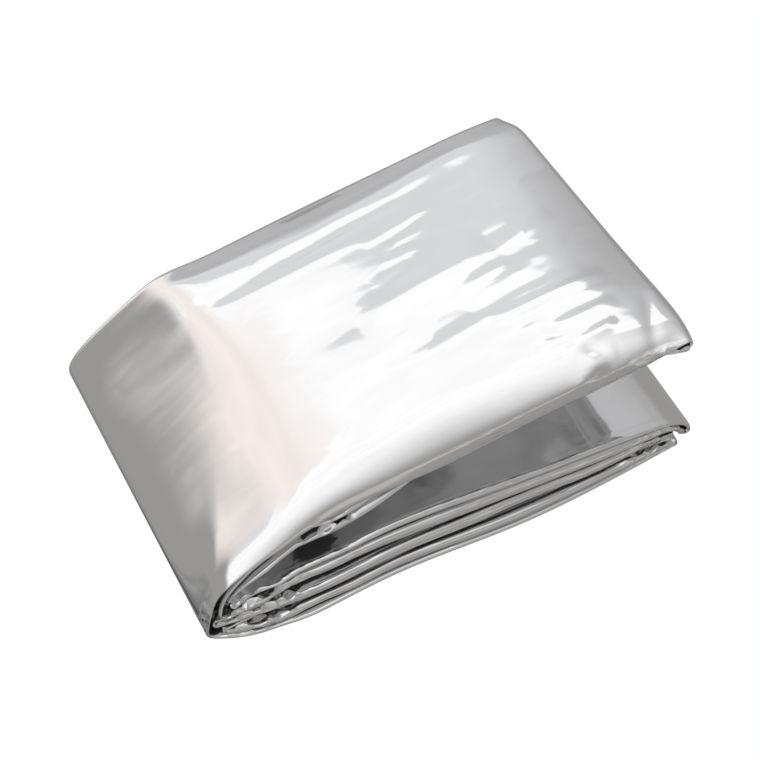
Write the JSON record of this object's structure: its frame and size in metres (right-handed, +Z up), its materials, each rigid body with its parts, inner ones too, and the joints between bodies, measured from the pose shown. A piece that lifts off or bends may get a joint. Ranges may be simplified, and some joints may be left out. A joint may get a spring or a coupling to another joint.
{
  "type": "folded emergency foil blanket",
  "caption": "Silver foil emergency blanket folded flat into a strip and back on itself, its upper leaf sprung up so that a wedge opens away from the spine.",
  "frame": {"origin": "on the surface it rests on, under the centre of the whole box", "axes": "+X from the folded spine to the open end, +Y from the front side to the back, +Z up"},
  "size_m": [0.1308, 0.0933, 0.0438],
  "materials": {
    "foil": "bright vacuum-metallised polyester film, mirror-like with fine wrinkles"
  },
  "bodies": {
    "root": {"foil_blanket": "foil"}
  },
  "joints": []
}
